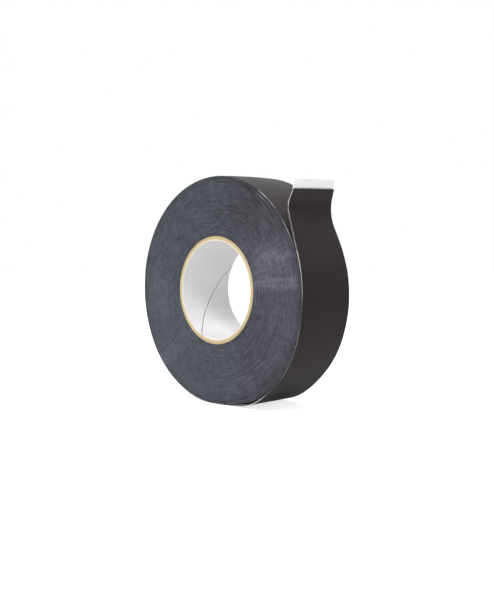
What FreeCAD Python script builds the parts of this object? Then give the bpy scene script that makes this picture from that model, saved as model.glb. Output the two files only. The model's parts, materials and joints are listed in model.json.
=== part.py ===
import FreeCAD, Part
import math
import os

import Sketcher

# A roll of cloth grip tape standing on its rim, in millimetres. The tape is wound on a
# spirally wound paper core. Its last part hangs loosely over the roll and ends in a free
# tail that stands off the rim, with a short tab of release liner past the tape's cut.
# The Y axis is the axis of the core, with the origin at the middle of its bore. +Z is up,
# and the free tail is on the +X side. Angles are measured about the axis from +X to +Z.

os.makedirs("parts", exist_ok=True)

V = FreeCAD.Vector
doc = FreeCAD.newDocument("grip_tape_roll")

# --- driving dimensions -----------------------------------------------------------------

SIZES = {
    # core
    "bore_diameter": 38.1,
    "tape_width": 25.4,
    "inner_ply_wall": 0.36,
    "body_ply_wall": 0.33,
    "outer_ply_wall": 0.34,
    "ply_strip_width": 75.0,
    "ply_seam_gap": 0.3,
    "ply_seam_angle": -160.5,
    # layers of the tape, from the outside in
    "cloth_thickness": 0.45,
    "adhesive_thickness": 0.12,
    "liner_thickness": 0.1,
    "lap_gap": 0.035,
    # tight winding
    "winding_turns": 32,
    "winding_end_angle": -82.0,
    "lap_groove_depth": 0.2,
    "rest_flat_width": 8.0,
    # strip that fixes the first turn to the core
    "starter_strip_length": 15.0,
    "starter_strip_width": 19.0,
    "starter_strip_thickness": 0.12,
    # loose end of the last turn, which bellies away from the roll
    "wrap_sweep_angle": 101.0,
    "wrap_belly": 2.1,
    "wrap_belly_skew_ratio": 0.62,
    "wrap_end_lift": 0.25,
    # free tail, measured along the tape
    "tail_straight": 12.9,
    "tail_bend_radius": 12.2,
    "tail_bend_angle": 41.0,
    "tail_tip": 2.3,
    "tail_lower_length": 8.0,
    "tail_middle_length": 8.0,
    "tail_fold_gap": 0.3,
    "liner_tab_length": 3.4,
    "liner_tab_gap": 0.2,
}

BODY_PLIES = 3      # kraft plies between the inner and the outer ply
SLACK_TURNS = 4     # outer turns of the roll that are slack beneath the loose wrap
TOOL_MARGIN = 1.0   # how far a cutting tool reaches past what it cuts
LOOSE_SPANS = 14    # spans of the smooth line along each face of a loose or slack turn

sheet = doc.addObject("Spreadsheet::Sheet", "sizes")
for row, (alias, value) in enumerate(SIZES.items(), start=1):
    sheet.set(f"A{row}", alias.replace("_", " "))
    sheet.set(f"B{row}", str(value))
    sheet.setAlias(f"B{row}", alias)
doc.recompute()


def size(alias):
    """The value that a cell of the sheet holds."""
    return float(getattr(sheet, alias))


# --- sizes that follow from the sheet ---------------------------------------------------

WIDTH = size("tape_width")
CORE_WALLS = ["inner_ply_wall"] + ["body_ply_wall"] * BODY_PLIES + ["outer_ply_wall"]
CORE_RADIUS = size("bore_diameter") / 2 + sum(size(wall) for wall in CORE_WALLS)

# Distance of each layer's two faces from the inner face of the liner.
LINER_OUT = size("liner_thickness")
ADHESIVE_OUT = LINER_OUT + size("adhesive_thickness")
CLOTH_OUT = ADHESIVE_OUT + size("cloth_thickness")
LAYERS = {
    "liner": (0.0, LINER_OUT),
    "adhesive": (LINER_OUT, ADHESIVE_OUT),
    "cloth": (ADHESIVE_OUT, CLOTH_OUT),
}
PITCH = CLOTH_OUT + size("lap_gap")

TURNS = round(size("winding_turns"))
END_ANGLE = math.radians(size("winding_end_angle"))
WRAP_SWEEP = math.radians(size("wrap_sweep_angle"))
WRAP_STOP = END_ANGLE + WRAP_SWEEP
LOOSE_SHARES = [span / LOOSE_SPANS for span in range(LOOSE_SPANS + 1)]
RIM_RADIUS = CORE_RADIUS + PITCH * TURNS + CLOTH_OUT

BEND_START = size("tail_straight")
BEND_ANGLE = math.radians(size("tail_bend_angle"))
BEND_STOP = BEND_START + size("tail_bend_radius") * BEND_ANGLE
TAIL_LENGTH = BEND_STOP + size("tail_tip")
LOWER_STOP = size("tail_lower_length")
MIDDLE_STOP = LOWER_STOP + size("tail_middle_length")


# --- helpers ----------------------------------------------------------------------------

def in_section(x, z):
    """A point of the roll's middle section, which lies in the XZ plane."""
    return V(x, 0, z)


def polar(radius, angle):
    """A point of the middle section by its radius and its angle about the axis."""
    return in_section(radius * math.cos(angle), radius * math.sin(angle))


def outline(label, edges, holes=()):
    """A flat face bounded by edges, with a hole for each closed wire in holes."""
    feature = doc.addObject("Part::Feature", label + "_outline")
    face = Part.Face(Part.Wire(Part.__sortEdges__(list(edges))))
    for hole in holes:
        face = face.cut(Part.Face(hole))
    feature.Shape = face
    return feature


def across_width(label, profile):
    """A solid of the profile, as wide as the tape and centred on the middle section."""
    solid = doc.addObject("Part::Extrusion", label)
    solid.Label = label
    solid.Base = profile
    solid.DirMode = "Custom"
    solid.Dir = V(0, 1, 0)
    solid.Symmetric = True
    solid.Solid = True
    solid.setExpression("LengthFwd", "sizes.tape_width")
    return solid


def along_axis(label, radius, height):
    """A cylinder on the Y axis, centred on the middle section. Its sizes are expressions."""
    cylinder = doc.addObject("Part::Cylinder", label)
    cylinder.setExpression("Radius", radius)
    cylinder.setExpression("Height", height)
    cylinder.Placement.Rotation = FreeCAD.Rotation(V(1, 0, 0), -90)
    cylinder.setExpression("Placement.Base.y", f"-({height}) / 2")
    return cylinder


def cut(label, base, tool):
    """The base without the tool."""
    result = doc.addObject("Part::Cut", label)
    result.Label = label
    result.Base = base
    result.Tool = tool
    return result


# --- core -------------------------------------------------------------------------------

def radius_past(walls):
    """The expression for the core's radius outside the given walls."""
    return " + ".join(["sizes.bore_diameter / 2"] + [f"sizes.{wall}" for wall in walls])


def ply_tube(label, walls_inside, wall):
    """One ply of the core, a plain tube with the given walls inside it."""
    body = doc.addObject("PartDesign::Body", label)
    body.Label = label
    plane = next(f for f in body.Origin.OriginFeatures if f.Role == "XZ_Plane")
    sketch = body.newObject("Sketcher::SketchObject", label + "_section")
    sketch.AttachmentSupport = [(plane, "")]
    sketch.MapMode = "FlatFace"
    inner = size("bore_diameter") / 2 + sum(size(w) for w in walls_inside)
    bounds = [(inner, walls_inside), (inner + size(wall), walls_inside + [wall])]
    for radius, walls in bounds:
        circle = sketch.addGeometry(Part.Circle(V(), V(0, 0, 1), radius), False)
        sketch.addConstraint(Sketcher.Constraint("Coincident", circle, 3, -1, 1))
        held = sketch.addConstraint(Sketcher.Constraint("Radius", circle, radius))
        sketch.setExpression(f"Constraints[{held}]", radius_past(walls))
    pad = body.newObject("PartDesign::Pad", label + "_pad")
    pad.Profile = sketch
    pad.SideType = "Symmetric"
    pad.setExpression("Length", "sizes.tape_width")
    return body


def butt_seam():
    """The helical gap where the edges of the inner ply's strip meet."""
    around = math.pi * size("bore_diameter")
    strip = size("ply_strip_width")
    lead = strip * around / math.sqrt(around**2 - strip**2)
    reach = WIDTH / 2 + TOOL_MARGIN
    middle = (size("bore_diameter") + size("inner_ply_wall")) / 2
    depth = size("inner_ply_wall") + TOOL_MARGIN
    helix = doc.addObject("Part::Helix", "seam_line")
    helix.Pitch = lead
    helix.Height = 2 * reach
    helix.setExpression("Radius", "(sizes.bore_diameter + sizes.inner_ply_wall) / 2")
    slot = doc.addObject("Part::Plane", "seam_section")
    slot.setExpression("Length", "sizes.ply_seam_gap")
    slot.setExpression("Width", f"sizes.inner_ply_wall + {TOOL_MARGIN}")
    # The section stands across the helix: its width is radial, and its length runs round.
    slope = math.degrees(math.atan2(lead, 2 * math.pi * middle))
    radial = FreeCAD.Rotation(V(0, 0, 1), -90)
    upright = FreeCAD.Rotation(V(1, 0, 0), slope - 90)
    turn = upright.multiply(radial)
    corner = V(-size("ply_seam_gap") / 2, -depth / 2, 0)
    slot.Placement = FreeCAD.Placement(V(middle, 0, 0) + turn.multVec(corner), turn)
    tool = doc.addObject("Part::Sweep", "seam_tool")
    tool.Sections = [slot]
    tool.Spine = helix
    tool.Solid = True
    tool.Frenet = True
    start = size("ply_seam_angle") + 360 * reach / lead
    lay = FreeCAD.Rotation(V(1, 0, 0), -90)
    tool.Placement = FreeCAD.Placement(
        V(0, -reach, 0), FreeCAD.Rotation(V(0, 1, 0), -start).multiply(lay)
    )
    return tool


core_nodes = [cut("core_inner_ply", ply_tube("inner_ply_tube", [], CORE_WALLS[0]), butt_seam())]
for ply in range(1, BODY_PLIES + 1):
    core_nodes.append(ply_tube(f"core_body_ply_{ply}", CORE_WALLS[:ply], CORE_WALLS[ply]))
core_nodes.append(ply_tube("core_outer_ply", CORE_WALLS[:-1], CORE_WALLS[-1]))


# --- strip that fixes the first turn to the core ------------------------------------------

def starter():
    """A curved patch on the core where the tape's first turn begins."""
    outside = radius_past(CORE_WALLS)
    slab = along_axis(
        "starter_slab", f"{outside} + sizes.starter_strip_thickness", "sizes.starter_strip_width"
    )
    slab.setExpression("Angle", f"sizes.starter_strip_length / ({outside}) * 180 / pi")
    face_up = FreeCAD.Rotation(V(0, 1, 0), -math.degrees(END_ANGLE))
    slab.Placement.Rotation = face_up.multiply(slab.Placement.Rotation)
    core_space = along_axis("starter_core", outside, "sizes.tape_width")
    return cut("starter_strip", slab, core_space)


starter_strip = starter()


# --- tight winding ------------------------------------------------------------------------

def half_turn(index, outward):
    """One half turn of the wound tape's spiral, outward of the liner's inner face.

    Each half turn is an arc about one of two centres, a quarter of the pitch to each side
    of the axis, so the arcs meet with no kink and every layer is parallel to the next.
    """
    side = -1 if index % 2 == 0 else 1
    centre = polar(side * PITCH / 4, END_ANGLE)
    radius = CORE_RADIUS + PITCH * (2 * index + 1) / 4 + outward
    start = END_ANGLE + math.pi * index
    points = [centre + polar(radius, start + math.pi * share) for share in (0, 0.5, 1)]
    return Part.Arc(*points).toShape(), points[0], points[-1]


def on_half_turn(index, swept, outward):
    """A point of an even half turn, by the angle swept since the half turn began.

    The arc's centre lies on the line of its two ends, so this is where a ray from the
    axis meets it.
    """
    aside = -PITCH / 4
    radius = CORE_RADIUS + PITCH * (2 * index + 1) / 4 + outward
    across = aside * math.sin(swept)
    reach = aside * math.cos(swept) + math.sqrt(radius**2 - across**2)
    return polar(reach, END_ANGLE + swept)


def spiral(first, last, inner, outer):
    """The edges round a stretch of the spiral, between two distances from the liner."""
    edges, ends = [], []
    for outward in (inner, outer):
        arcs = [half_turn(index, outward) for index in range(first, last)]
        edges += [arc for arc, _, _ in arcs]
        ends.append((arcs[0][1], arcs[-1][2]))
    caps = [Part.LineSegment(ends[0][side], ends[1][side]).toShape() for side in (0, 1)]
    return edges + caps


def lap_groove(side):
    """The groove that the liner's edge leaves between the turns, on one side face."""
    name = "lap_groove_front" if side < 0 else "lap_groove_back"
    profile = outline(name, spiral(0, 2 * (TURNS - 1), CLOTH_OUT, PITCH + LINER_OUT))
    depth = size("lap_groove_depth")
    middle = WIDTH / 2 + (TOOL_MARGIN - depth) / 2
    profile.Placement.Base = V(0, side * middle, 0)
    tool = doc.addObject("Part::Extrusion", name)
    tool.Base = profile
    tool.DirMode = "Custom"
    tool.Dir = V(0, 1, 0)
    tool.Symmetric = True
    tool.Solid = True
    tool.setExpression("LengthFwd", f"sizes.lap_groove_depth + {TOOL_MARGIN}")
    return tool


def slack_space():
    """The space that the slack turns leave in the winding beneath the loose wrap."""
    inside = 2 * (TURNS - SLACK_TURNS - 1)
    beyond = 2 * (CORE_RADIUS + PITCH * TURNS)
    shares = (0, 0.5, 1)
    floor = [on_half_turn(inside, WRAP_SWEEP * share, CLOTH_OUT) for share in shares]
    roof = [polar(beyond, END_ANGLE + WRAP_SWEEP * share) for share in shares]
    edges = [Part.Arc(*floor).toShape(), Part.Arc(*roof).toShape()]
    for end in (0, -1):
        edges.append(Part.LineSegment(floor[end], roof[end]).toShape())
    space = across_width("slack_space", outline("slack_space", edges))
    space.setExpression("LengthFwd", f"sizes.tape_width + {2 * TOOL_MARGIN}")
    return space


def rest_flat():
    """The space below the flat that the roll's weight presses into its rim."""
    flat = size("rest_flat_width")
    box = doc.addObject("Part::Box", "rest_flat_space")
    box.Length = 2 * flat
    box.Width = WIDTH + 2 * TOOL_MARGIN
    box.Height = TOOL_MARGIN
    top = -math.sqrt(RIM_RADIUS**2 - (flat / 2) ** 2)
    box.Placement.Base = V(-flat, -WIDTH / 2 - TOOL_MARGIN, top - TOOL_MARGIN)
    return box


def winding():
    """The tight turns, from the core to where the last turn comes loose."""
    last = [half_turn(index, CLOTH_OUT) for index in (2 * TURNS - 2, 2 * TURNS - 1)]
    step = Part.LineSegment(last[-1][2], last[0][1]).toShape()
    core = Part.Wire(Part.Circle(V(), V(0, 1, 0), CORE_RADIUS).toShape())
    blank = across_width(
        "winding_blank", outline("winding", [arc for arc, _, _ in last] + [step], [core])
    )
    tools = doc.addObject("Part::MultiFuse", "winding_spaces")
    tools.Shapes = [lap_groove(-1), lap_groove(1), slack_space(), rest_flat(), starter_strip]
    return cut("tight_winding", blank, tools), blank


tight_winding, winding_blank = winding()


# --- loose end of the last turn, and the slack turns beneath it ---------------------------

def loose_point(turns_in, share, outward):
    """A point of a loose or slack turn, by its share of the sweep.

    turns_in counts turns inward from the loose wrap, which is 0. The belly of each is
    smaller than that of the next one out, down to none where the winding is tight.
    """
    slack = 1 - turns_in / (SLACK_TURNS + 1)
    belly = size("wrap_belly") * math.sin(math.pi * share ** size("wrap_belly_skew_ratio")) ** 2
    lift = size("wrap_end_lift") * share**2 if turns_in == 0 else 0
    wound = on_half_turn(2 * (TURNS - turns_in), WRAP_SWEEP * share, outward)
    return wound + polar(slack * belly + lift, END_ANGLE + WRAP_SWEEP * share)


def loose_outline(name, turns_in, inner, outer):
    """The section of one layer of a loose or slack turn, between two smooth lines."""
    edges = []
    for outward in (inner, outer):
        line = Part.BSplineCurve()
        line.interpolate([loose_point(turns_in, share, outward) for share in LOOSE_SHARES])
        edges.append(line.toShape())
    for share in (0, 1):
        ends = [loose_point(turns_in, share, outward) for outward in (inner, outer)]
        edges.append(Part.LineSegment(*ends).toShape())
    return outline(name, edges)


def wrap_layer(layer, inner, outer):
    """One layer of the loose wrap."""
    name = f"outer_wrap_{layer}"
    return across_width(name, loose_outline(name, 0, inner, outer))


def slack_layer(layer, inner, outer):
    """One layer of every slack turn, as a group of separate strips."""
    group = doc.addObject("Part::Compound", f"slack_turns_{layer}")
    group.Label = f"slack_turns_{layer}"
    strips = []
    for turns_in in range(1, SLACK_TURNS + 1):
        name = f"slack_turn_{turns_in}_{layer}"
        strips.append(across_width(name, loose_outline(name, turns_in, inner, outer)))
    group.Links = strips
    return group


# --- free tail ------------------------------------------------------------------------------

def tail_point(run, outward):
    """A point of the tail: run along the tape from the lift line, outward of the liner.

    The tail leaves the roll along its tangent, runs straight, bends outward and ends
    straight again.
    """
    heading = WRAP_STOP + math.pi / 2
    point = loose_point(0, 1, 0)
    straight = min(run, BEND_START)
    point = point + polar(straight, heading)
    if run > BEND_START:
        radius = size("tail_bend_radius")
        turned = (min(run, BEND_STOP) - BEND_START) / radius
        centre = point + polar(radius, heading - math.pi / 2)
        heading -= turned
        point = centre - polar(radius, heading - math.pi / 2)
    if run > BEND_STOP:
        point = point + polar(run - BEND_STOP, heading)
    return point + polar(outward, heading - math.pi / 2)


def tail_edges(start, stop, outward):
    """The edges along one stretch of the tail, at one distance from the liner."""
    corners = [start] + [b for b in (BEND_START, BEND_STOP) if start < b < stop] + [stop]
    edges = []
    for low, high in zip(corners, corners[1:]):
        ends = tail_point(low, outward), tail_point(high, outward)
        if BEND_START <= low < BEND_STOP:
            middle = tail_point((low + high) / 2, outward)
            edges.append(Part.Arc(ends[0], middle, ends[1]).toShape())
        else:
            edges.append(Part.LineSegment(*ends).toShape())
    return edges


def tail_layer(name, start, stop, inner, outer):
    """One layer of one stretch of the tail."""
    edges = tail_edges(start, stop, inner) + tail_edges(start, stop, outer)
    for run in (start, stop):
        ends = tail_point(run, inner), tail_point(run, outer)
        edges.append(Part.LineSegment(*ends).toShape())
    return across_width(name, outline(name, edges))


tape_nodes = [wrap_layer(layer, *faces) for layer, faces in LAYERS.items()]
slack_nodes = [slack_layer(layer, *faces) for layer, faces in LAYERS.items()]
fold_gap = size("tail_fold_gap")
stretches = {
    "tail_lower": (fold_gap, LOWER_STOP - fold_gap / 2),
    "tail_middle": (LOWER_STOP + fold_gap / 2, MIDDLE_STOP - fold_gap / 2),
    "tail_upper": (MIDDLE_STOP + fold_gap / 2, TAIL_LENGTH),
}
for stretch, (start, stop) in stretches.items():
    for layer, faces in LAYERS.items():
        tape_nodes.append(tail_layer(f"{stretch}_{layer}", start, stop, *faces))
tab_start = TAIL_LENGTH + size("liner_tab_gap")
tab_stop = TAIL_LENGTH + size("liner_tab_length")
tape_nodes.append(tail_layer("liner_tab", tab_start, tab_stop, *LAYERS["liner"]))


# --- checks and output ----------------------------------------------------------------------

doc.recompute()
nodes = core_nodes + [starter_strip, tight_winding] + slack_nodes + tape_nodes

for item in doc.Objects:
    if {"Invalid", "Error"} & set(item.State):
        raise RuntimeError(f"{item.Label} did not build: {item.State}")
for node in nodes:
    if node.Shape.isNull() or not node.Shape.isValid() or node.Shape.Volume <= 0:
        raise RuntimeError(f"{node.Label} has no valid shape")
    if len(node.Shape.Solids) != (SLACK_TURNS if node in slack_nodes else 1):
        raise RuntimeError(f"{node.Label} has {len(node.Shape.Solids)} solids")
if not tight_winding.Shape.Volume < winding_blank.Shape.Volume - starter_strip.Shape.Volume:
    raise RuntimeError("the grooves or the flat removed nothing from the winding")

fold_line = ADHESIVE_OUT + size("cloth_thickness") / 2
for name, run, outward in (
    ("lift line", fold_gap / 2, fold_line),
    ("lower fold", LOWER_STOP, fold_line),
    ("upper fold", MIDDLE_STOP, fold_line),
    ("tab fold", TAIL_LENGTH + size("liner_tab_gap") / 2, LINER_OUT / 2),
):
    place = tail_point(run, outward)
    print(f"{name}: x {place.x:.4f} z {place.z:.4f}")
wound = math.pi * TURNS * (2 * CORE_RADIUS + PITCH * TURNS)
tape_length = wound + WRAP_SWEEP * RIM_RADIUS + TAIL_LENGTH
print(f"core radius {CORE_RADIUS:.3f}, rim {RIM_RADIUS:.3f}")
print(f"tape length about {tape_length / 1000:.2f} m")
print(f"rest height {tight_winding.Shape.BoundBox.ZMin:.4f}")

for node in nodes:
    node.Shape.exportStep(os.path.join("parts", node.Label + ".step"))
    print(f"{node.Label}: {node.Shape.Volume:.2f} mm3")
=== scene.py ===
import json
import math
import random

import bpy
import numpy as np
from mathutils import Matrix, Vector


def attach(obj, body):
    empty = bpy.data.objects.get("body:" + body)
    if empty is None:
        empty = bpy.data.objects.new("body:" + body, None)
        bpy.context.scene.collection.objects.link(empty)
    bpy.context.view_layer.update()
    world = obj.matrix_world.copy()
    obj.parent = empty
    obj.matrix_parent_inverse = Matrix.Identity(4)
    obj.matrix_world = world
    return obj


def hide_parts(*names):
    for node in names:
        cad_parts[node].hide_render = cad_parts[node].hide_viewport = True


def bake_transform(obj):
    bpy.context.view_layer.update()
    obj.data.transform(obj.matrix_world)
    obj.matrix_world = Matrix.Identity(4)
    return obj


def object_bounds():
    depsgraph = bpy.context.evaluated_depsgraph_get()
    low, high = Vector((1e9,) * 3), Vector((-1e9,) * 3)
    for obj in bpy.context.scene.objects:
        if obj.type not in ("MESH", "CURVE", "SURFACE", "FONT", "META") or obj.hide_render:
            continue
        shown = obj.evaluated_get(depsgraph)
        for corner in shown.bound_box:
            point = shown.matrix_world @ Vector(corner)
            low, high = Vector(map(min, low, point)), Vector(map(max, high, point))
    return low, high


# A roll of woven grip tape that stands on its rim, with a loose outer turn, a free tail
# and a tab of bare liner. Lengths below are in millimetres, and become metres where they
# are handed to Blender. The Y axis is the roll's axis, +Z is up, and angles run from +X
# to +Z. The near side face is the one at -Y.

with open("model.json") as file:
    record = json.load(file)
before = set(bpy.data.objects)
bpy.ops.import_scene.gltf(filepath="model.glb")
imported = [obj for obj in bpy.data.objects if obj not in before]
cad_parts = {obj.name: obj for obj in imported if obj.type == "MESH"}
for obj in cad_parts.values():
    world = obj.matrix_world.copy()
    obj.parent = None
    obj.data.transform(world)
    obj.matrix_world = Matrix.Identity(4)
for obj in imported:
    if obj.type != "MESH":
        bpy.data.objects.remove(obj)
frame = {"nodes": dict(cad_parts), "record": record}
cad_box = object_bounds()

MM = 0.001
TURN = 2 * math.pi      # a full turn in radians

# --- sizes of the roll ------------------------------------------------------------------

bore = next(m for m in frame["record"]["mounts"] if m["name"] == "core_bore")["dims"]

WIDTH = bore["length_mm"]
HALF = WIDTH / 2
BORE_RADIUS = bore["r_mm"]
# The thickness of each ply of the core, from the bore outwards.
PLY_WALLS = {
    "core_inner_ply": 0.36,
    "core_body_ply_1": 0.33,
    "core_body_ply_2": 0.33,
    "core_body_ply_3": 0.33,
    "core_outer_ply": 0.34,
}
CORE_RADIUS = BORE_RADIUS + sum(PLY_WALLS.values())
SEAM_ANGLE = math.radians(-160.5)   # where the inner ply's seam crosses the middle
SEAM_SLOPE = math.radians(3.78)     # how far the seam turns back per millimetre of Y
SEAM_GAP = 0.26

REST_HEIGHT = cad_box[0].z / MM     # of the flat that the roll stands on

# The heights of each layer's two faces over the inner face of the tape.
LINER = (0.0, 0.10)
ADHESIVE = (0.10, 0.22)
CLOTH = (0.22, 0.67)
TURN_GAP = 0.035        # between a turn's cloth and the liner of the next
PITCH = CLOTH[1] + TURN_GAP
STARTER = 0.13          # room for the starter strip beneath the first turn

TURNS = 32              # below the loose one
END_ANGLE = math.radians(-82)           # where the tape starts, and so does the loose turn
WRAP_SWEEP = math.radians(101)          # how far the loose turn goes round
LIFT_ANGLE = END_ANGLE + WRAP_SWEEP     # where the tail lifts off
WRAP_START = TURN * TURNS               # the angle swept before the loose turn
BELLY = 2.1             # how far the loose turn stands out where it is slackest
BELLY_SKEW = 0.62       # below 1, so that place comes before the middle of the turn
END_LIFT = 0.25         # how far the loose turn stands off at its end
SLACK_SHARE = 0.92      # belly of the turn beneath the loose wrap, as a share of its own
SLACK_POWER = 0.5       # how the belly dies away from there to the core

# The tail's two edges run differently, so it is twisted: each leans in, goes straight, and
# then bends out. Its lean and bend are in degrees, straight is the run before the bend,
# length is the run to the cloth's cut end, and tab is how far the bare liner goes on.
TAIL_EDGES = {
    "near": {"lean": 15.7, "straight": 13.9, "radius": 8.2, "bend": 42, "length": 23.15, "tab": 3.6},
    "far": {"lean": 25.0, "straight": 10.1, "radius": 16.8, "bend": 40, "length": 24.95, "tab": 3.25},
}
TAIL_LENGTH = 24.05     # along the tail's middle
TAB_LENGTH = 3.4        # along the tab's middle
SPLITS = (0.28, 0.63)   # shares of the tail where one piece hands over to the next
LEAN_RUN = 3            # how far past the lift line each edge takes up its own lean
BESIDE_END = 0.001      # how far a stretch's second station is from its end, as a share


# --- where the tape runs ----------------------------------------------------------------

def wander(places, size, longest, seed, waves=8):
    """A smooth random wave of about the given size along places."""
    draw = random.Random(seed)
    total = np.zeros_like(places)
    for _ in range(waves):
        length = longest * draw.uniform(0.15, 1)
        total += np.sin(places * TURN / length + draw.uniform(0, TURN))
    return total * size / math.sqrt(waves / 2)


def rise(places, low, high):
    """0 before low and 1 after high, with a smooth step between them."""
    share = np.clip((places - low) / (high - low), 0, 1)
    return share * share * (3 - 2 * share)


def window(places, low, high, soft):
    """1 between low and high, with soft ends."""
    return rise(places, low - soft, low) * (1 - rise(places, high, high + soft))


def belly(swept):
    """How far a turn stands out over its tight place."""
    share = np.clip((swept % TURN) / WRAP_SWEEP, 0, 1)
    share = np.where(swept >= WRAP_START, (swept - WRAP_START) / WRAP_SWEEP, share)
    slack = SLACK_SHARE * (swept / WRAP_START) ** SLACK_POWER
    slack = np.where(swept >= WRAP_START, 1, slack)
    lift = np.where(swept >= WRAP_START, END_LIFT * share**2, 0)
    return slack * BELLY * np.sin(math.pi * share**BELLY_SKEW) ** 2 + lift


# Places where the outer turns stand off the roll: at one edge, or between the edges.
# (middle in degrees, half width in degrees, height)
NEAR_FLARES = [(-64, 14, 0.6), (-35, 22, 0.3), (19, 22, 0.13), (140, 45, 0.25), (222, 35, 0.18)]
FAR_FLARES = [
    (-83, 14, 1.1), (-68, 16, 0.4), (-47, 16, -0.35), (-18, 22, 0.3), (2, 24, 0.6),
    (80, 70, 1.0), (200, 80, 0.3),
]
CROWNS = [(82, 50, 0.3)]
# Places where the winding beneath the loose turn is pressed in, likewise. At the far edge
# that leaves the tail room to bend.
NEAR_DENTS = [(-64, 18, -0.3)]
FAR_DENTS = [(34, 22, -0.9)]


def flare(swept, bumps):
    """How far an edge of the tape stands off, which dies away towards the core."""
    angle = np.degrees(END_ANGLE + swept)
    total = np.zeros_like(swept)
    for middle, half_width, height in bumps:
        away = np.abs((angle - middle + 180) % 360 - 180)
        total += height * np.cos(np.minimum(1, away / half_width) * math.pi / 2) ** 2
    return total * np.minimum(1, swept / WRAP_START) ** 3


# Turns that stand proud of the near face, or below it, for part of the way round:
# (turn, from degrees, to degrees, height).
RAISED = [
    (0, -95, 290, -0.08),
    (9, -105, -28, 0.12),
    (16, -140, -25, 0.14),
    (14, -140, -105, 0.10),
    (20, -60, 30, 0.04),
    (27, -80, 10, 0.04),
    (31, -95, 12, -0.10),
]
# Turns whose cut edge is pale for part of the way round, likewise. Most of it is wear. On turns 29
# and 31 between 12 and 59 degrees, the upper right rim, it is partly wear and partly a painted
# highlight. On turns 9 and 16 it is a painted highlight along raised arcs.
WORN_AND_HIGHLIT = [
    (31, 28, 59, 0.45),
    (31, 47, 59, 0.20),
    (31, 12, 26, 0.36),
    (29, 46, 57, 0.46),
    (9, -95, -30, 0.18),
    (16, -135, -30, 0.18),
    (30, -70, -20, 0.2),
    (31, -78, -42, 0.25),
    (32, -76, -58, 0.16),
]


def marked(swept, marks, soft):
    """The height of the marks along the tape, each with ends that soft in radians."""
    total = np.zeros_like(swept)
    for turn, start, stop, height in marks:
        middle = TURN * turn + (math.radians((start + stop) / 2) - END_ANGLE) % TURN
        reach = math.radians((stop - start) / 2)
        total += height * window(swept, middle - reach, middle + reach, soft)
    return total


def edge_shift(swept):
    """How far the tape stands out towards the near side."""
    drift = wander(swept, 0.012, 0.9 * TURN, 11) + wander(swept, 0.006, 0.22 * TURN, 12, 12)
    return drift + marked(swept, RAISED, 0.3)


def edge_paleness(swept):
    """How pale the tape's edges are, from 0 to 1: from wear, and from a painted highlight along the
    upper right rim and on two raised arcs.
    """
    loose = 0.42 * rise(swept, WRAP_START, WRAP_START + 0.2)
    loose += 0.22 * rise(swept, WRAP_START + 1.3, WRAP_START + 1.45)
    pale_share = marked(swept, WORN_AND_HIGHLIT, 0.06) * (1 + wander(swept, 0.12, 0.2, 22))
    return np.clip(0.15 + wander(swept, 0.09, 0.35 * TURN, 21, 14) + pale_share + loose, 0, 1)


def lap(swept):
    """How far the inner turns are off an even spiral, where they step over the tape's start."""
    share = np.maximum(0, 1 - swept / (20 * TURN))
    turned = (swept % TURN) / TURN
    return share * (STARTER - PITCH * (turned - rise(turned, 0.92, 1)))


# A stretch of tape is a dictionary of arrays, with one row for each station along it: base
# and out are the middle of its inner face and the way outwards, skew is how far the far
# edge is off that middle, along is the distance from the tape's first end, and shift,
# crown and paleness are how far it stands out sideways, bulges, and how pale its edges
# are, from wear and in places from a painted highlight.


def wound_stretch(start, stop, step):
    """Stations of wound tape between two angles swept from the tape's first end."""
    swept = np.linspace(start, stop, max(2, round((stop - start) / step) + 1))
    angle = END_ANGLE + swept
    out = np.stack([np.cos(angle), np.sin(angle)], 1)
    radius = CORE_RADIUS + PITCH * swept / TURN + lap(swept) + belly(swept)
    radius += wander(swept, 0.012, 0.5 * TURN, 31) * np.minimum(1, swept)
    near, far = flare(swept, NEAR_FLARES), flare(swept, FAR_FLARES)
    near += np.where(swept < WRAP_START, flare(swept, NEAR_DENTS), 0)
    far += np.where(swept < WRAP_START, flare(swept, FAR_DENTS), 0)
    base = out * (radius + (near + far) / 2)[:, None]
    skew = out * ((far - near) / 2)[:, None]
    along = CORE_RADIUS * swept + PITCH * swept**2 / (2 * TURN)
    return {
        "base": base, "out": out, "skew": skew, "along": along, "crown": flare(swept, CROWNS),
        "shift": edge_shift(swept), "paleness": edge_paleness(swept),
    }


def edge_course(edge, start, shares):
    """The places and headings of one edge of the tail.

    A share of 0 is the lift line and 1 is the cloth's cut end. The tab goes on from there to
    a share of 2. A heading is the angle by which the tail leans in from upright.
    """
    course = TAIL_EDGES[edge]
    steps = np.linspace(0, 2, 2001)
    runs = course["length"] * np.minimum(steps, 1) + course["tab"] * np.maximum(steps - 1, 0)
    lean = LIFT_ANGLE + (math.radians(course["lean"]) - LIFT_ANGLE) * rise(runs, 0, LEAN_RUN)
    bent = (runs - course["straight"]) / course["radius"]
    headings = lean - np.clip(bent, 0, math.radians(course["bend"]))
    moves = np.diff(runs)[:, None] * np.stack([-np.sin(headings), np.cos(headings)], 1)[1:]
    places = start + np.vstack([np.zeros(2), np.cumsum(moves, 0)])
    return np.stack([np.interp(shares, steps, part) for part in (*places.T, headings)], 1)


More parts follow.
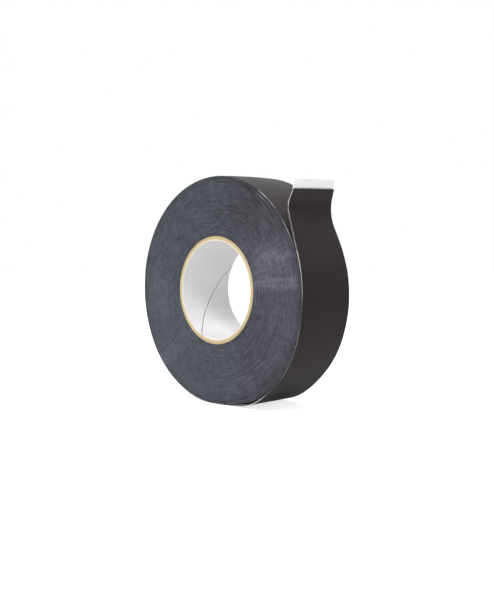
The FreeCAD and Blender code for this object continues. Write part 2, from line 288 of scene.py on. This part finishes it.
def tail_stretch(start, stop, count):
    """Stations of the free tail between two shares of its length.

    A flat end bends the smooth shading as far as the next station, so each end of a stretch
    has a station close by.
    """
    last = wound_stretch(WRAP_START, WRAP_START + WRAP_SWEEP, 0.02)
    shares = np.linspace(start, stop, count + 1)
    shares = np.insert(shares, [1, count], [start + BESIDE_END, stop - BESIDE_END])
    near = edge_course("near", last["base"][-1] - last["skew"][-1], shares)
    far = edge_course("far", last["base"][-1] + last["skew"][-1], shares)
    middle, half = (near + far) / 2, (far - near) / 2
    out = np.stack([np.cos(middle[:, 2]), np.sin(middle[:, 2])], 1)
    runs = TAIL_LENGTH * np.minimum(shares, 1) + TAB_LENGTH * np.maximum(shares - 1, 0)
    shift = last["shift"][-1] * (1 - rise(runs, 0, 10)) + wander(runs, 0.02, 30, 41)
    paleness = np.clip(0.70 + 0.27 * rise(runs, 13, 20) + wander(runs, 0.05, 12, 42), 0, 1)
    return {
        "base": middle[:, :2], "out": out, "skew": half[:, :2], "along": last["along"][-1] + runs,
        "crown": np.zeros_like(runs), "shift": shift, "paleness": paleness,
    }


def joined(*stretches):
    """Stretches laid end to end, each starting where the one before stops."""
    kept = [stretches[0]] + [{k: v[1:] for k, v in s.items()} for s in stretches[1:]]
    return {key: np.concatenate([s[key] for s in kept]) for key in kept[0]}


# --- meshes -----------------------------------------------------------------------------

FACE, EDGE, UNDER = 0, 1, 2     # the kinds of faces, in the order of a piece's materials
PALE_BAND = 0.26             # how deep an edge's pale band reaches from its outer corner
MARGIN = 0.15           # of each wide face beside a corner, which keeps the rest shaded flat
CORE_STEPS = 240        # round the core
SEAM_STEPS = 32         # along the seam
CORE_ROUNDING = 0.05    # of the rims of the plies
BEAD_GAPS = (0.015, 0.06)       # from the glue bead to the core, and to the tape over it
BEAD_INSET = 0.1        # from the glue bead to the side faces


def layer_section(layer, inset, rounding, steps):
    """The closed section of a layer, as points of (y, height), and the kind of each span.

    inset is how far the layer's edges stop short of the tape's. rounding is the radius of its
    corners, each made of that many steps.
    """
    low, high = layer
    half = HALF - inset
    reach = half - rounding - MARGIN
    side = [(reach, high)]
    for level, start in ((high - rounding, 0), (low + rounding, 90)):
        for turn in np.radians(np.linspace(start, start + 90, steps + 1)):
            y = half - rounding + rounding * math.sin(turn)
            side.append((y, level + rounding * math.cos(turn)))
        if start == 0 and high - low > 2 * PALE_BAND:
            side.append((half, high - PALE_BAND))
    side.append((reach, low))
    between = [reach / 2, 0, -reach / 2]
    points = side + [(y, low) for y in between]
    points += [(-y, height) for y, height in reversed(side)] + [(-y, high) for y in between]
    kinds = []
    for here, there in zip(points, points[1:] + points[:1]):
        slope = (there[0] - here[0]) / (math.dist(here, there) or 1)
        kinds.append(UNDER if slope < -0.8 else FACE if slope > 0.8 else EDGE)
    return points, kinds


def build(name, points, faces, marks, materials, uv=None, paleness=None):
    """A mesh object from points in millimetres.

    A face's mark is its kind plus 1, and below zero where the face is shaded flat.
    """
    mesh = bpy.data.meshes.new(name)
    mesh.from_pydata((np.asarray(points) * MM).tolist(), [], faces)
    for material in materials:
        mesh.materials.append(material)
    mesh.polygons.foreach_set("material_index", [abs(mark) - 1 for mark in marks])
    mesh.polygons.foreach_set("use_smooth", [mark > 0 for mark in marks])
    if uv is not None:
        layer = mesh.uv_layers.new(name="tape")
        layer.uv.foreach_set("vector", np.asarray(uv, np.float32).ravel())
    if paleness is not None:
        held = mesh.attributes.new("paleness", "FLOAT", "POINT")
        held.data.foreach_set("value", np.asarray(paleness, np.float32))
    mesh.validate()
    mesh.update()
    piece = bpy.data.objects.new(name, mesh)
    bpy.context.scene.collection.objects.link(piece)
    return piece


def strip_places(run, across, height):
    """The points of a strip of tape, with a row of them for each station."""
    flat = run["base"][:, None, :] + run["out"][:, None, :] * height[None, :, None]
    flat = flat + run["skew"][:, None, :] * (across / HALF)[None, :, None]
    bulge = run["crown"][:, None] * (1 - (across / HALF) ** 2)[None, :]
    flat = flat + run["out"][:, None, :] * bulge[..., None]
    y = across[None, :] - run["shift"][:, None]
    upright = np.maximum(flat[..., 1], REST_HEIGHT)
    return np.stack([flat[..., 0], y, upright], 2).reshape(-1, 3)


def strip(name, run, section, materials):
    """A layer of tape along a stretch, closed at both ends."""
    points, kinds = section
    across = np.array([p[0] for p in points])
    height = np.array([p[1] for p in points])
    rows, columns = len(run["along"]), len(points)
    spans = [math.dist(here, there) for here, there in zip(points, points[1:] + points[:1])]
    around = np.cumsum([0] + spans)
    faces, marks, uv = [], [], []
    for row in range(rows - 1):
        here, there = row * columns, (row + 1) * columns
        u = run["along"][row], run["along"][row + 1]
        for column in range(columns):
            after = (column + 1) % columns
            faces.append((here + column, here + after, there + after, there + column))
            marks.append(kinds[column] + 1)
            v = around[column], around[column + 1]
            uv += [(u[0], v[0]), (u[0], v[1]), (u[1], v[1]), (u[1], v[0])]
    for row, order in ((0, -1), (rows - 1, 1)):
        faces.append(tuple(row * columns + c for c in range(columns))[::order])
        marks.append(-(EDGE + 1))
        uv += [(p[0], p[1]) for p in points[::order]]
    exposed = rise(height, height.max() - PALE_BAND, height.max() - PALE_BAND / 2)
    paleness = run["paleness"][:, None] * (0.2 + 0.8 * exposed)[None, :]
    places = strip_places(run, across, height)
    return build(name, places, faces, marks, materials, uv, paleness.ravel())


def tube(name, inner, outer, materials, seam=False):
    """A ply of the core: a tube with rounded rims and, if asked, a helical butt seam."""
    reach = HALF - CORE_ROUNDING
    levels = np.linspace(-reach, reach, SEAM_STEPS + 1 if seam else 2)
    low, high = inner + CORE_ROUNDING, outer - CORE_ROUNDING
    section = [(low, -HALF), (high, -HALF)]
    section += [(outer, y) for y in levels]
    section += [(high, HALF), (low, HALF)]
    section += [(inner, y) for y in reversed(levels)]
    gap = SEAM_GAP / inner if seam else 0
    sweep = np.linspace(gap / 2, TURN - gap / 2, CORE_STEPS + 1)
    if not seam:
        sweep = sweep[:-1]
    places = []
    for angle in sweep:
        for radius, y in section:
            turned = angle + (SEAM_ANGLE - SEAM_SLOPE * y if seam else 0)
            places.append((radius * math.cos(turned), y, radius * math.sin(turned)))
    faces, marks = [], []
    columns, count = len(section), len(sweep)
    for row in range(CORE_STEPS):
        here, there = row * columns, (row + 1) % count * columns
        for column in range(columns):
            after = (column + 1) % columns
            faces.append((here + column, there + column, there + after, here + after))
            rim = abs(section[column][1] + section[after][1]) > 2 * reach
            marks.append(EDGE + 1 if rim else FACE + 1)
    # A seam's walls take the third material. The lining's is dark adhesive, as painted shade in the
    # gap.
    if seam:
        faces.append(tuple(range(columns)))
        faces.append(tuple((count - 1) * columns + c for c in reversed(range(columns))))
        marks += [-(UNDER + 1)] * 2
    return build(name, places, faces, marks, materials)


def glue_bead(name):
    """The glue in the wedge where the first turn's far end lifts off the core."""
    swept = np.linspace(0.905, 0.999, 40) * TURN
    inner = CORE_RADIUS + BEAD_GAPS[0]
    outer = CORE_RADIUS + PITCH * swept / TURN + lap(swept) - BEAD_GAPS[1]
    half = HALF - BEAD_INSET
    places = []
    for angle, top in zip(END_ANGLE + swept, outer):
        for radius, y in ((inner, -half), (top, -half), (top, half), (inner, half)):
            places.append((radius * math.cos(angle), y, radius * math.sin(angle)))
    faces = [(3, 2, 1, 0), tuple(len(places) - 4 + c for c in range(4))]
    for row in range(len(swept) - 1):
        here, there = row * 4, row * 4 + 4
        faces += [(here + c, here + (c + 1) % 4, there + (c + 1) % 4, there + c) for c in range(4)]
    return build(name, places, faces, [-1] * len(faces), [GLUE_AND_SHADE])


# --- materials --------------------------------------------------------------------------

class Graph:
    """A node tree and short ways to add to it."""

    def __init__(self, tree):
        self.tree = tree

    def set(self, node, values):
        """Give inputs of a node their values, or link them to outputs."""
        for key, value in values.items():
            socket = node.inputs[key]
            if isinstance(value, bpy.types.NodeSocket):
                self.tree.links.new(value, socket)
            else:
                socket.default_value = value

    def node(self, kind, inputs=None, **settings):
        """A new node of a kind, with its inputs and settings."""
        made = self.tree.nodes.new("ShaderNode" + kind)
        for key, value in settings.items():
            setattr(made, key, value)
        self.set(made, inputs or {})
        return made

    def math(self, operation, *values):
        return self.node("Math", dict(enumerate(values)), operation=operation).outputs[0]

    def vector(self, x, y, z):
        return self.node("CombineXYZ", {0: x, 1: y, 2: z}).outputs[0]

    def noise(self, place, scale, detail=3, roughness=0.5):
        inputs = {"Vector": place, "Scale": scale, "Detail": detail, "Roughness": roughness}
        return self.node("TexNoise", inputs).outputs["Fac"]

    def between(self, value, low, high, out_low=0.0, out_high=1.0):
        """out_low where the value is low, out_high where it is high, and evenly between."""
        inputs = {0: value, 1: low, 2: high, 3: out_low, 4: out_high}
        return self.node("MapRange", inputs, clamp=True).outputs[0]

    def mix(self, share, first, second, blend="MIX"):
        made = self.node("Mix", data_type="RGBA", blend_type=blend)
        self.set(made, {0: share, 6: first, 7: second})
        return made.outputs[2]

    def bump(self, height, distance, strength):
        """A normal for relief that is so many millimetres deep."""
        inputs = {"Height": height, "Distance": distance * MM, "Strength": strength}
        return self.node("Bump", inputs).outputs[0]

    def place(self):
        """The place on the object in millimetres."""
        source = self.node("TexCoord").outputs["Object"]
        scaled = self.node("VectorMath", {0: source, 3: 1 / MM}, operation="SCALE")
        return scaled.outputs[0]

    def rings(self, place, around, across):
        """A place to sample noise at that runs in rings about the roll's axis.

        around and across are how fast it changes per radian and per millimetre.
        """
        parts = self.node("SeparateXYZ", {0: place}).outputs
        flat = self.vector(parts[0], 0.0, parts[2])
        radius = self.node("VectorMath", {0: flat}, operation="LENGTH").outputs["Value"]
        out = self.node("VectorMath", {0: flat}, operation="NORMALIZE").outputs[0]
        turned = self.node("VectorMath", {0: out, 3: around}, operation="SCALE").outputs[0]
        bits = self.node("SeparateXYZ", {0: turned}).outputs
        return self.vector(bits[0], self.math("MULTIPLY", radius, across), bits[2])


class Skin(Graph):
    """A new material with its principled shader, and ways to add nodes to it."""

    def __init__(self, name, values):
        self.material = bpy.data.materials.new(name)
        self.material.use_nodes = True
        super().__init__(self.material.node_tree)
        self.shader = self.tree.nodes["Principled BSDF"]
        self.set(self.shader, values)

    def dressed(self, colour, normal=None):
        """The material, with its colour and normal in place."""
        self.set(self.shader, {"Base Color": colour})
        if normal is not None:
            self.set(self.shader, {"Normal": normal})
        return self.material


def grey(value, tint=(1, 1, 1)):
    """An opaque grey, shifted by the tint."""
    return tuple(value * t for t in tint) + (1,)


THREAD_PITCH = 0.79     # from one crossing to the next along the tape
THREAD_GAUGE = 1.45     # and across it
DARK_COAT = grey(0.0148, (1.22, 0.92, 0.93))
PALE_COAT = grey(0.0166, (1.22, 0.92, 0.93))
# Pale colour of dust, which also paints sheen on top and light from the floor underneath.
DUST_AND_PAINTED_LIGHT = grey(0.10, (1.06, 0.96, 0.99))
PAINTED_SHADE_HEIGHT = 9          # how far up from the floor the painted shade darkens the cloth


def crossings(g):
    """The relief of the weave, from 0 to 1, with a crown where one thread crosses another."""
    uv = g.node("UVMap", uv_map="tape").outputs[0]
    bits = g.node("SeparateXYZ", {0: uv}).outputs
    warp = g.math("SINE", g.math("MULTIPLY", bits[0], math.pi / THREAD_PITCH))
    weft = g.math("SINE", g.math("MULTIPLY", bits[1], math.pi / THREAD_GAUGE))
    over = g.math("GREATER_THAN", g.math("MULTIPLY", warp, weft), 0.0)
    x, y = g.math("ABSOLUTE", warp), g.math("ABSOLUTE", weft)
    along = g.math("MULTIPLY", g.math("POWER", x, 0.45), y)
    across = g.math("MULTIPLY", g.math("POWER", y, 0.45), x)
    return g.node("Mix", {0: over, 2: across, 3: along}).outputs[0]


def woven_cloth():
    """Black plain weave with a rubbery coat, which shows the crossings of its threads.

    The crossings are paler where the cloth faces up, partly from dust and partly as painted sheen,
    and a little paler where it faces down, as painted light from the floor. Near the floor the cloth
    fades to black, which is painted shade.
    """
    g = Skin("woven_cloth", {
        "Roughness": 0.6, "Specular IOR Level": 0.1, "Sheen Weight": 0.08, "Sheen Roughness": 0.4,
    })
    place, crowns = g.place(), crossings(g)
    top = g.math("POWER", crowns, 2.0)
    cloud = g.between(g.noise(place, 0.12, 3), 0.3, 0.7)
    grain = g.noise(place, 5.0, 2)
    tone = g.math("ADD", g.math("MULTIPLY", top, 0.7), g.math("MULTIPLY", cloud, 0.3))
    coat = g.mix(tone, DARK_COAT, PALE_COAT)
    facing = g.node("SeparateXYZ", {0: g.node("TexCoord").outputs["Normal"]}).outputs[2]
    # Paler crossings where the cloth faces up: partly dust, partly painted sheen. Where it faces
    # down: painted light from the floor.
    above = g.between(facing, 0.15, 0.95, 0.0, 0.52)
    below = g.between(facing, -0.05, -0.6, 0.0, 0.32)
    dusty_and_lit = g.mix(g.math("MULTIPLY", g.math("ADD", above, below), top), coat, DUST_AND_PAINTED_LIGHT)
    # Painted shade: the cloth fades to black towards the floor.
    height = g.node("SeparateXYZ", {0: place}).outputs[2]
    unshaded = g.between(height, REST_HEIGHT, REST_HEIGHT + PAINTED_SHADE_HEIGHT, 0.0, 1.0)
    relief = g.math("ADD", crowns, g.math("MULTIPLY", grain, 0.1))
    return g.dressed(g.mix(unshaded, grey(0.0), dusty_and_lit), g.bump(relief, 0.018, 1.0))


GROOVE = 1.5            # width of the faint rings that two turns make together
RIM_SHADE = (40.5, 42.8, -0.1)      # the two radii between which the side darkens, and how far

# Dusty places on the near side face, and dark ones where the strength is below zero:
# (x, z, half width, half height, strength).
SCUFFS = [
    (32, 3.0, 13, 2.4, 0.36),
    (40, 4.5, 2.6, 3.5, 0.34),
    (34, 13.5, 7, 1.6, 0.24),
    (36, -14, 6, 14, 0.10),
    (26, 13, 6, 4, 0.16),
    (-32, -2, 8, 12, 0.16),
    (-27, -26, 12, 8, 0.14),
    (30, 9, 10, 9, 0.42),
    (19, 30, 17, 13, -0.20),
]


def scuffed(g, place, smears, chips):
    """How much the scuffs add to the tone of the side."""
    wide = g.between(smears, 0.35, 0.6, 0.5, 1.0)
    fine = g.between(chips, 0.38, 0.52, 0.45, 1.1)
    patchy = g.math("MULTIPLY", wide, fine)
    total = 0.0
    for x, z, half_width, half_height, strength in SCUFFS:
        off = g.node("VectorMath", {0: place, 1: (x, -HALF, z)}, operation="SUBTRACT").outputs[0]
        spread = (1 / half_width, 0.02, 1 / half_height)
        off = g.node("VectorMath", {0: off, 1: spread}, operation="MULTIPLY").outputs[0]
        away = g.node("VectorMath", {0: off}, operation="LENGTH").outputs["Value"]
        spot = g.math("MULTIPLY", g.between(away, 1.25, 0.35), patchy)
        total = g.math("ADD", total, g.math("MULTIPLY", spot, strength))
    return total


def side_tone(g):
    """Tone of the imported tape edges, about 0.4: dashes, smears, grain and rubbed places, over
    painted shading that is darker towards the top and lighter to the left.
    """
    place = g.place()
    parts = g.node("SeparateXYZ", {0: place}).outputs
    dashes = g.noise(g.rings(place, 8.0, 0.9), 1.0, 2, 0.5)
    smears = g.noise(g.rings(place, 26.0, 0.12), 1.0, 3, 0.5)
    blotches = g.noise(place, 0.13, 4, 0.5)
    chips = g.noise(place, 0.8, 3, 0.6)
    grain = g.noise(place, 2.4, 3, 0.6)
    shares = ((dashes, 0.62), (smears, 0.34), (blotches, 0.3), (chips, 0.3), (grain, 0.15))

    reach = g.node("VectorMath", {0: g.vector(parts[0], 0.0, parts[2])}, operation="LENGTH")
    radius = reach.outputs["Value"]
    sway = g.math("MULTIPLY", g.noise(place, 0.07, 2), 16.0)
    wave = g.math("SINE", g.math("ADD", g.math("MULTIPLY", radius, TURN / GROOVE), sway))
    grooves = g.math("MULTIPLY", wave, g.between(blotches, 0.42, 0.6, 0.0, 0.05))
    rim = g.between(radius, RIM_SHADE[0], RIM_SHADE[1], 0.0, RIM_SHADE[2])

    # Painted shading across the flat side face: darker towards the top, and lighter to the left.
    tone = g.between(parts[2], -44.0, 44.0, 0.485, 0.34)
    for more in (g.between(parts[0], 30.0, -40.0, 0.0, 0.08), rim, grooves):
        tone = g.math("ADD", tone, more)
    for noise, strength in shares:
        swing = g.math("SUBTRACT", noise, 0.5)
        tone = g.math("ADD", tone, g.math("MULTIPLY", swing, strength))
    return g.math("ADD", tone, scuffed(g, place, smears, chips)), dashes, grain


LEFT_TINT = grey(1.0, (0.88, 0.99, 1.16))
RIGHT_TINT = grey(1.0, (0.96, 0.96, 1.20))
# Pale colour of rubbed edges, which also paints the highlights on some edges.
WORN_AND_HIGHLIT_EDGE = grey(0.75, (1.03, 0.98, 1.0))


def side_colour(g, tone, share):
    """Packed-edge colour for a tone: blue-green to the left, and purplish to the right."""
    across = g.node("SeparateXYZ", {0: g.place()}).outputs[0]
    tint = g.mix(g.between(across, -30.0, 30.0), LEFT_TINT, RIGHT_TINT)
    tone = g.between(tone, 0.0, 1.0, 0.018 * share, 0.122 * share)
    return g.mix(1.0, tint, tone, "MULTIPLY")


def cut_edge(name, share, broken):
    """Slit edge of the cloth: blue-grey where it is packed, pale where wear has rubbed it and where a
    highlight is painted on it.

    share is how much light it returns, and broken how far the grain breaks up the pale band.
    """
    g = Skin(name, {"Roughness": 0.65, "Specular IOR Level": 0.15})
    paleness = g.node("Attribute", attribute_name="paleness").outputs["Fac"]
    tone, dashes, grain = side_tone(g)
    packed = side_colour(g, g.math("ADD", tone, g.math("MULTIPLY", paleness, 0.3)), share)
    swing = g.math("SUBTRACT", grain, 0.5)
    breaks = g.math("MULTIPLY", swing, g.between(paleness, 0.45, 0.7, broken, 0.0))
    # Pale where the edge is rubbed, and where a highlight is painted.
    pale_share = g.between(g.math("ADD", paleness, breaks), 0.45, 0.90)
    relief = g.math("ADD", grain, dashes)
    return g.dressed(g.mix(pale_share, packed, WORN_AND_HIGHLIT_EDGE), g.bump(relief, 0.012, 0.4))


def adhesive(name, share):
    """Dark rubber adhesive, which fills the edge between two turns of cloth."""
    g = Skin(name, {"Roughness": 0.5, "Specular IOR Level": 0.2})
    tone, _, grain = side_tone(g)
    return g.dressed(side_colour(g, tone, share), g.bump(grain, 0.03, 0.5))


def liner_paper():
    """Silicone-coated white paper, smooth, with faint fibres."""
    g = Skin("liner_paper", {
        "Roughness": 0.42, "Subsurface Weight": 0.4, "Subsurface Radius": (1.0, 1.0, 1.0),
        "Subsurface Scale": 0.3 * MM,
    })
    cloud = g.between(g.noise(g.place(), 0.35, 4), 0.3, 0.7)
    fibres = g.noise(g.place(), 6.0, 3)
    colour = g.mix(cloud, grey(0.83, (1, 1, 0.99)), grey(0.88, (1, 1, 0.99)))
    return g.dressed(colour, g.bump(fibres, 0.01, 0.4))


def liner_edge(name, share):
    """Slit edge of the liner: the grey-blue tone of the cut edges round it, a little paler along the
    dashes.
    """
    g = Skin(name, {"Roughness": 0.65, "Specular IOR Level": 0.15})
    tone, dashes, _ = side_tone(g)
    tone = g.math("ADD", tone, g.between(dashes, 0.45, 0.7, 0.0, 0.1))
    return g.dressed(side_colour(g, tone, share))


def kraft(name, light, dark):
    """Core board: long fibres in a tan ground."""
    g = Skin(name, {"Roughness": 0.75, "Specular IOR Level": 0.3})
    place = g.place()
    fibres = g.noise(g.rings(place, 40.0, 3.0), 1.0, 4, 0.6)
    specks = g.noise(place, 1.8, 4, 0.6)
    share = g.math("ADD", g.between(fibres, 0.3, 0.7, 0, 0.6), g.between(specks, 0.35, 0.7, 0, 0.4))
    relief = g.math("ADD", fibres, specks)
    return g.dressed(g.mix(share, light, dark), g.bump(relief, 0.04, 0.6))


def white_ply():
    """White lining paper with a satin face and faint fibres."""
    g = Skin("white_ply", {"Roughness": 0.3, "Specular IOR Level": 1.0})
    place = g.place()
    cloud = g.noise(place, 0.25, 4, 0.55)
    fibres = g.noise(g.rings(place, 60.0, 2.0), 1.0, 3)
    share = g.math("ADD", g.between(cloud, 0.3, 0.7, 0, 0.5), g.between(fibres, 0.3, 0.7, 0, 0.5))
    colour = g.mix(share, grey(0.72, (1, 0.985, 1.0)), grey(0.68, (1, 0.985, 1.0)))
    return g.dressed(colour, g.bump(cloud, 0.03, 0.4))


WEAVE = woven_cloth()
PAPER = liner_paper()
# Dark adhesive, also used as painted shade on the lining's seam walls and the outer ply.
GLUE_AND_SHADE = adhesive("adhesive_coat", 0.9)
# The materials of each layer's face, its cut edge and its underside.
PACKED_SKINS = {
    "cloth": [WEAVE, cut_edge("packed_cloth_edge", 1.0, 0.35), WEAVE],
    "adhesive": [GLUE_AND_SHADE] * 3,
    "liner": [liner_edge("packed_liner_edge", 1.0)] * 3,
}
LOOSE_SKINS = {
    "cloth": [WEAVE, cut_edge("loose_cloth_edge", 0.6, 0.0), WEAVE],
    "adhesive": [adhesive("loose_adhesive", 0.5)] * 3,
    "liner": [PAPER, liner_edge("loose_liner_edge", 0.6), PAPER],
}


# --- the tape ---------------------------------------------------------------------------

SECTIONS = {
    "cloth": layer_section(CLOTH, 0.0, 0.05, 2),
    "adhesive": layer_section(ADHESIVE, 0.04, 0.03, 1),
    "liner": layer_section(LINER, 0.0, 0.03, 1),
}
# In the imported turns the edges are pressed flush, and the liner swells to fill the gap.
PACKED_SECTIONS = {
    "cloth": layer_section(CLOTH, 0.0, 0.02, 1),
    "adhesive": layer_section(ADHESIVE, 0.01, 0.02, 1),
    "liner": layer_section((LINER[0] - 0.025, LINER[1]), 0.0, 0.02, 1),
}

STEP = math.radians(4)  # between the stations of the wound tape
loose = joined(
    wound_stretch(WRAP_START, WRAP_START + WRAP_SWEEP, STEP / 4), tail_stretch(0, SPLITS[0], 40)
)


def dress(nodes):
    """Hide the CAD nodes that a piece of a layer stands in for."""
    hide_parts(*nodes)


for layer, section in SECTIONS.items():
    turns = wound_stretch(0, WRAP_START, STEP)
    wound = strip(f"wound_{layer}", turns, PACKED_SECTIONS[layer], PACKED_SKINS[layer])
    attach(wound, "roll")
    held = [f"slack_turns_{layer}"] + (["tight_winding"] if layer == "cloth" else [])
    dress(held)

    wrap = strip(f"wrap_{layer}", loose, section, LOOSE_SKINS[layer])
    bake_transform(wrap)
    dress([f"outer_wrap_{layer}", f"tail_lower_{layer}"])

    middle = strip(f"bend_{layer}", tail_stretch(*SPLITS, 80), section, LOOSE_SKINS[layer])
    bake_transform(middle)
    dress([f"tail_middle_{layer}"])

    upper = strip(f"curl_{layer}", tail_stretch(SPLITS[1], 1, 120), section, LOOSE_SKINS[layer])
    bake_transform(upper)
    dress([f"tail_upper_{layer}"])

tab = strip("bare_liner", tail_stretch(1, 2, 12), SECTIONS["liner"], [PAPER] * 3)
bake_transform(tab)
dress(["liner_tab"])


# --- the core ---------------------------------------------------------------------------

cream = kraft("lining_rim", (0.76, 0.68, 0.54, 1), (0.68, 0.58, 0.43, 1))
pale_board = kraft("pale_board", (0.60, 0.51, 0.36, 1), (0.53, 0.43, 0.28, 1))
light_board = kraft("light_board", (0.55, 0.45, 0.26, 1), (0.47, 0.37, 0.20, 1))
dark_board = kraft("dark_board", (0.50, 0.42, 0.25, 1), (0.41, 0.32, 0.17, 1))
lining = white_ply()

# The materials of each ply's round faces, its rims and, for the lining, its seam walls,
# which are dark adhesive as painted shade in the seam's gap. The outer ply's round faces
# are dark adhesive too: partly the glue that holds the first turn, and partly painted
# shade in the recess beside the winding.
PLY_SKINS = {
    "core_inner_ply": [lining, cream, GLUE_AND_SHADE],
    "core_body_ply_1": [pale_board, pale_board],
    "core_body_ply_2": [light_board, light_board],
    "core_body_ply_3": [light_board, light_board],
    "core_outer_ply": [GLUE_AND_SHADE, dark_board],
}

radius = BORE_RADIUS
for node, wall in PLY_WALLS.items():
    is_lining = node == "core_inner_ply"
    name = "core_lining" if is_lining else node.replace("core_", "core_wound_")
    ply = tube(name, radius, radius + wall, PLY_SKINS[node], seam=is_lining)
    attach(ply, "roll")
    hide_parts(node)
    radius += wall

for held in frame["nodes"]["starter_strip"].material_slots:
    held.material = GLUE_AND_SHADE
bead = glue_bead("lap_glue")
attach(bead, "roll")


# --- floor, light and camera ------------------------------------------------------------

SEEN_GLOW = 0.74        # what the floor gives off where it is seen
MIRRORED_GLOW = 0.05    # and where it is mirrored
FLOOR_REACH = 4000.0


def white_floor():
    """A pale floor that keeps the roll's shadow and is otherwise seen as white."""
    g = Skin("white_floor", {})
    path = g.node("LightPath").outputs
    seen = g.math("MAXIMUM", path["Is Camera Ray"], path["Is Transmission Ray"])
    seen = g.math("MULTIPLY", seen, SEEN_GLOW)
    mirrored = g.math("MULTIPLY", path["Is Glossy Ray"], MIRRORED_GLOW)
    glow = g.node("Emission", {"Strength": g.math("MAXIMUM", seen, mirrored)}).outputs[0]
    paint = g.node("BsdfDiffuse", {"Color": grey(0.87)}).outputs[0]
    both = g.node("AddShader", {0: paint, 1: glow}).outputs[0]
    g.set(g.tree.nodes["Material Output"], {"Surface": both})
    return g.material


def studio_world():
    """Soft light from all round, stronger from the near side, and white where it is seen.

    It is white in mirrors too.
    """
    world = bpy.data.worlds.new("studio")
    world.use_nodes = True
    g = Graph(world.node_tree)
    heading = g.node("SeparateXYZ", {0: g.node("TexCoord").outputs["Generated"]}).outputs["Y"]
    ambient = g.tree.nodes["Background"]
    level = g.between(heading, -1.0, 1.0, 0.84, 0.42)
    g.set(ambient, {"Color": (1.0, 1.0, 1.01, 1), "Strength": level})
    white = g.node("Background", {"Color": (1, 1, 1, 1)})
    path = g.node("LightPath").outputs
    seen = g.math("MAXIMUM", path["Is Camera Ray"], path["Is Transmission Ray"])
    seen = g.math("MAXIMUM", seen, path["Is Glossy Ray"])
    choice = g.node("MixShader", {0: seen, 1: ambient.outputs[0], 2: white.outputs[0]})
    g.set(g.tree.nodes["World Output"], {"Surface": choice.outputs[0]})
    return world


corners = [(-1, -1), (1, -1), (1, 1), (-1, 1)]
corners = [(x * FLOOR_REACH, y * FLOOR_REACH, REST_HEIGHT) for x, y in corners]
floor = build("floor", corners, [(0, 1, 2, 3)], [-1], [white_floor()])
bpy.context.scene.world = studio_world()


def turn_to(holder, aim):
    """Turn a lamp or a camera to face a place, which is given in metres."""
    holder.rotation_euler = (aim - holder.location).to_track_quat("-Z", "Y").to_euler()


def softbox(name, place, size, watts):
    """A square area light at a place in millimetres, which faces the roll."""
    lamp = bpy.data.lights.new(name, "AREA")
    lamp.size = size * MM
    lamp.energy = watts
    holder = bpy.data.objects.new(name, lamp)
    bpy.context.scene.collection.objects.link(holder)
    holder.location = Vector(place) * MM
    turn_to(holder, Vector((0, 0, 0)))


softbox("key", (60, -420, 640), 300, 4.4)
softbox("side", (620, -200, 200), 380, 0.40)
softbox("top", (-150, 330, 700), 600, 1.0)

CAMERA_AZIMUTH = math.radians(45.67)
CAMERA_HEIGHT = math.radians(1.80)      # how far it looks down
CAMERA_DISTANCE = 310.7
CAMERA_AIM = (3.40, -2.75)              # to the right of the roll's centre, and up
LENS = 47.70
SENSOR = 36             # width

camera = bpy.data.objects.new("camera", bpy.data.cameras.new("camera"))
bpy.context.scene.collection.objects.link(camera)
camera.data.lens = LENS
camera.data.sensor_width = SENSOR
camera.data.clip_start = 0.01
back = Vector((
    math.sin(CAMERA_AZIMUTH) * math.cos(CAMERA_HEIGHT),
    -math.cos(CAMERA_AZIMUTH) * math.cos(CAMERA_HEIGHT),
    math.sin(CAMERA_HEIGHT),
))
right = Vector((math.cos(CAMERA_AZIMUTH), math.sin(CAMERA_AZIMUTH), 0))
up = back.cross(right)
camera.location = back * CAMERA_DISTANCE * MM
turn_to(camera, (right * CAMERA_AIM[0] + up * CAMERA_AIM[1]) * MM)
bpy.context.scene.camera = camera
bpy.context.scene.view_settings.view_transform = "Standard"
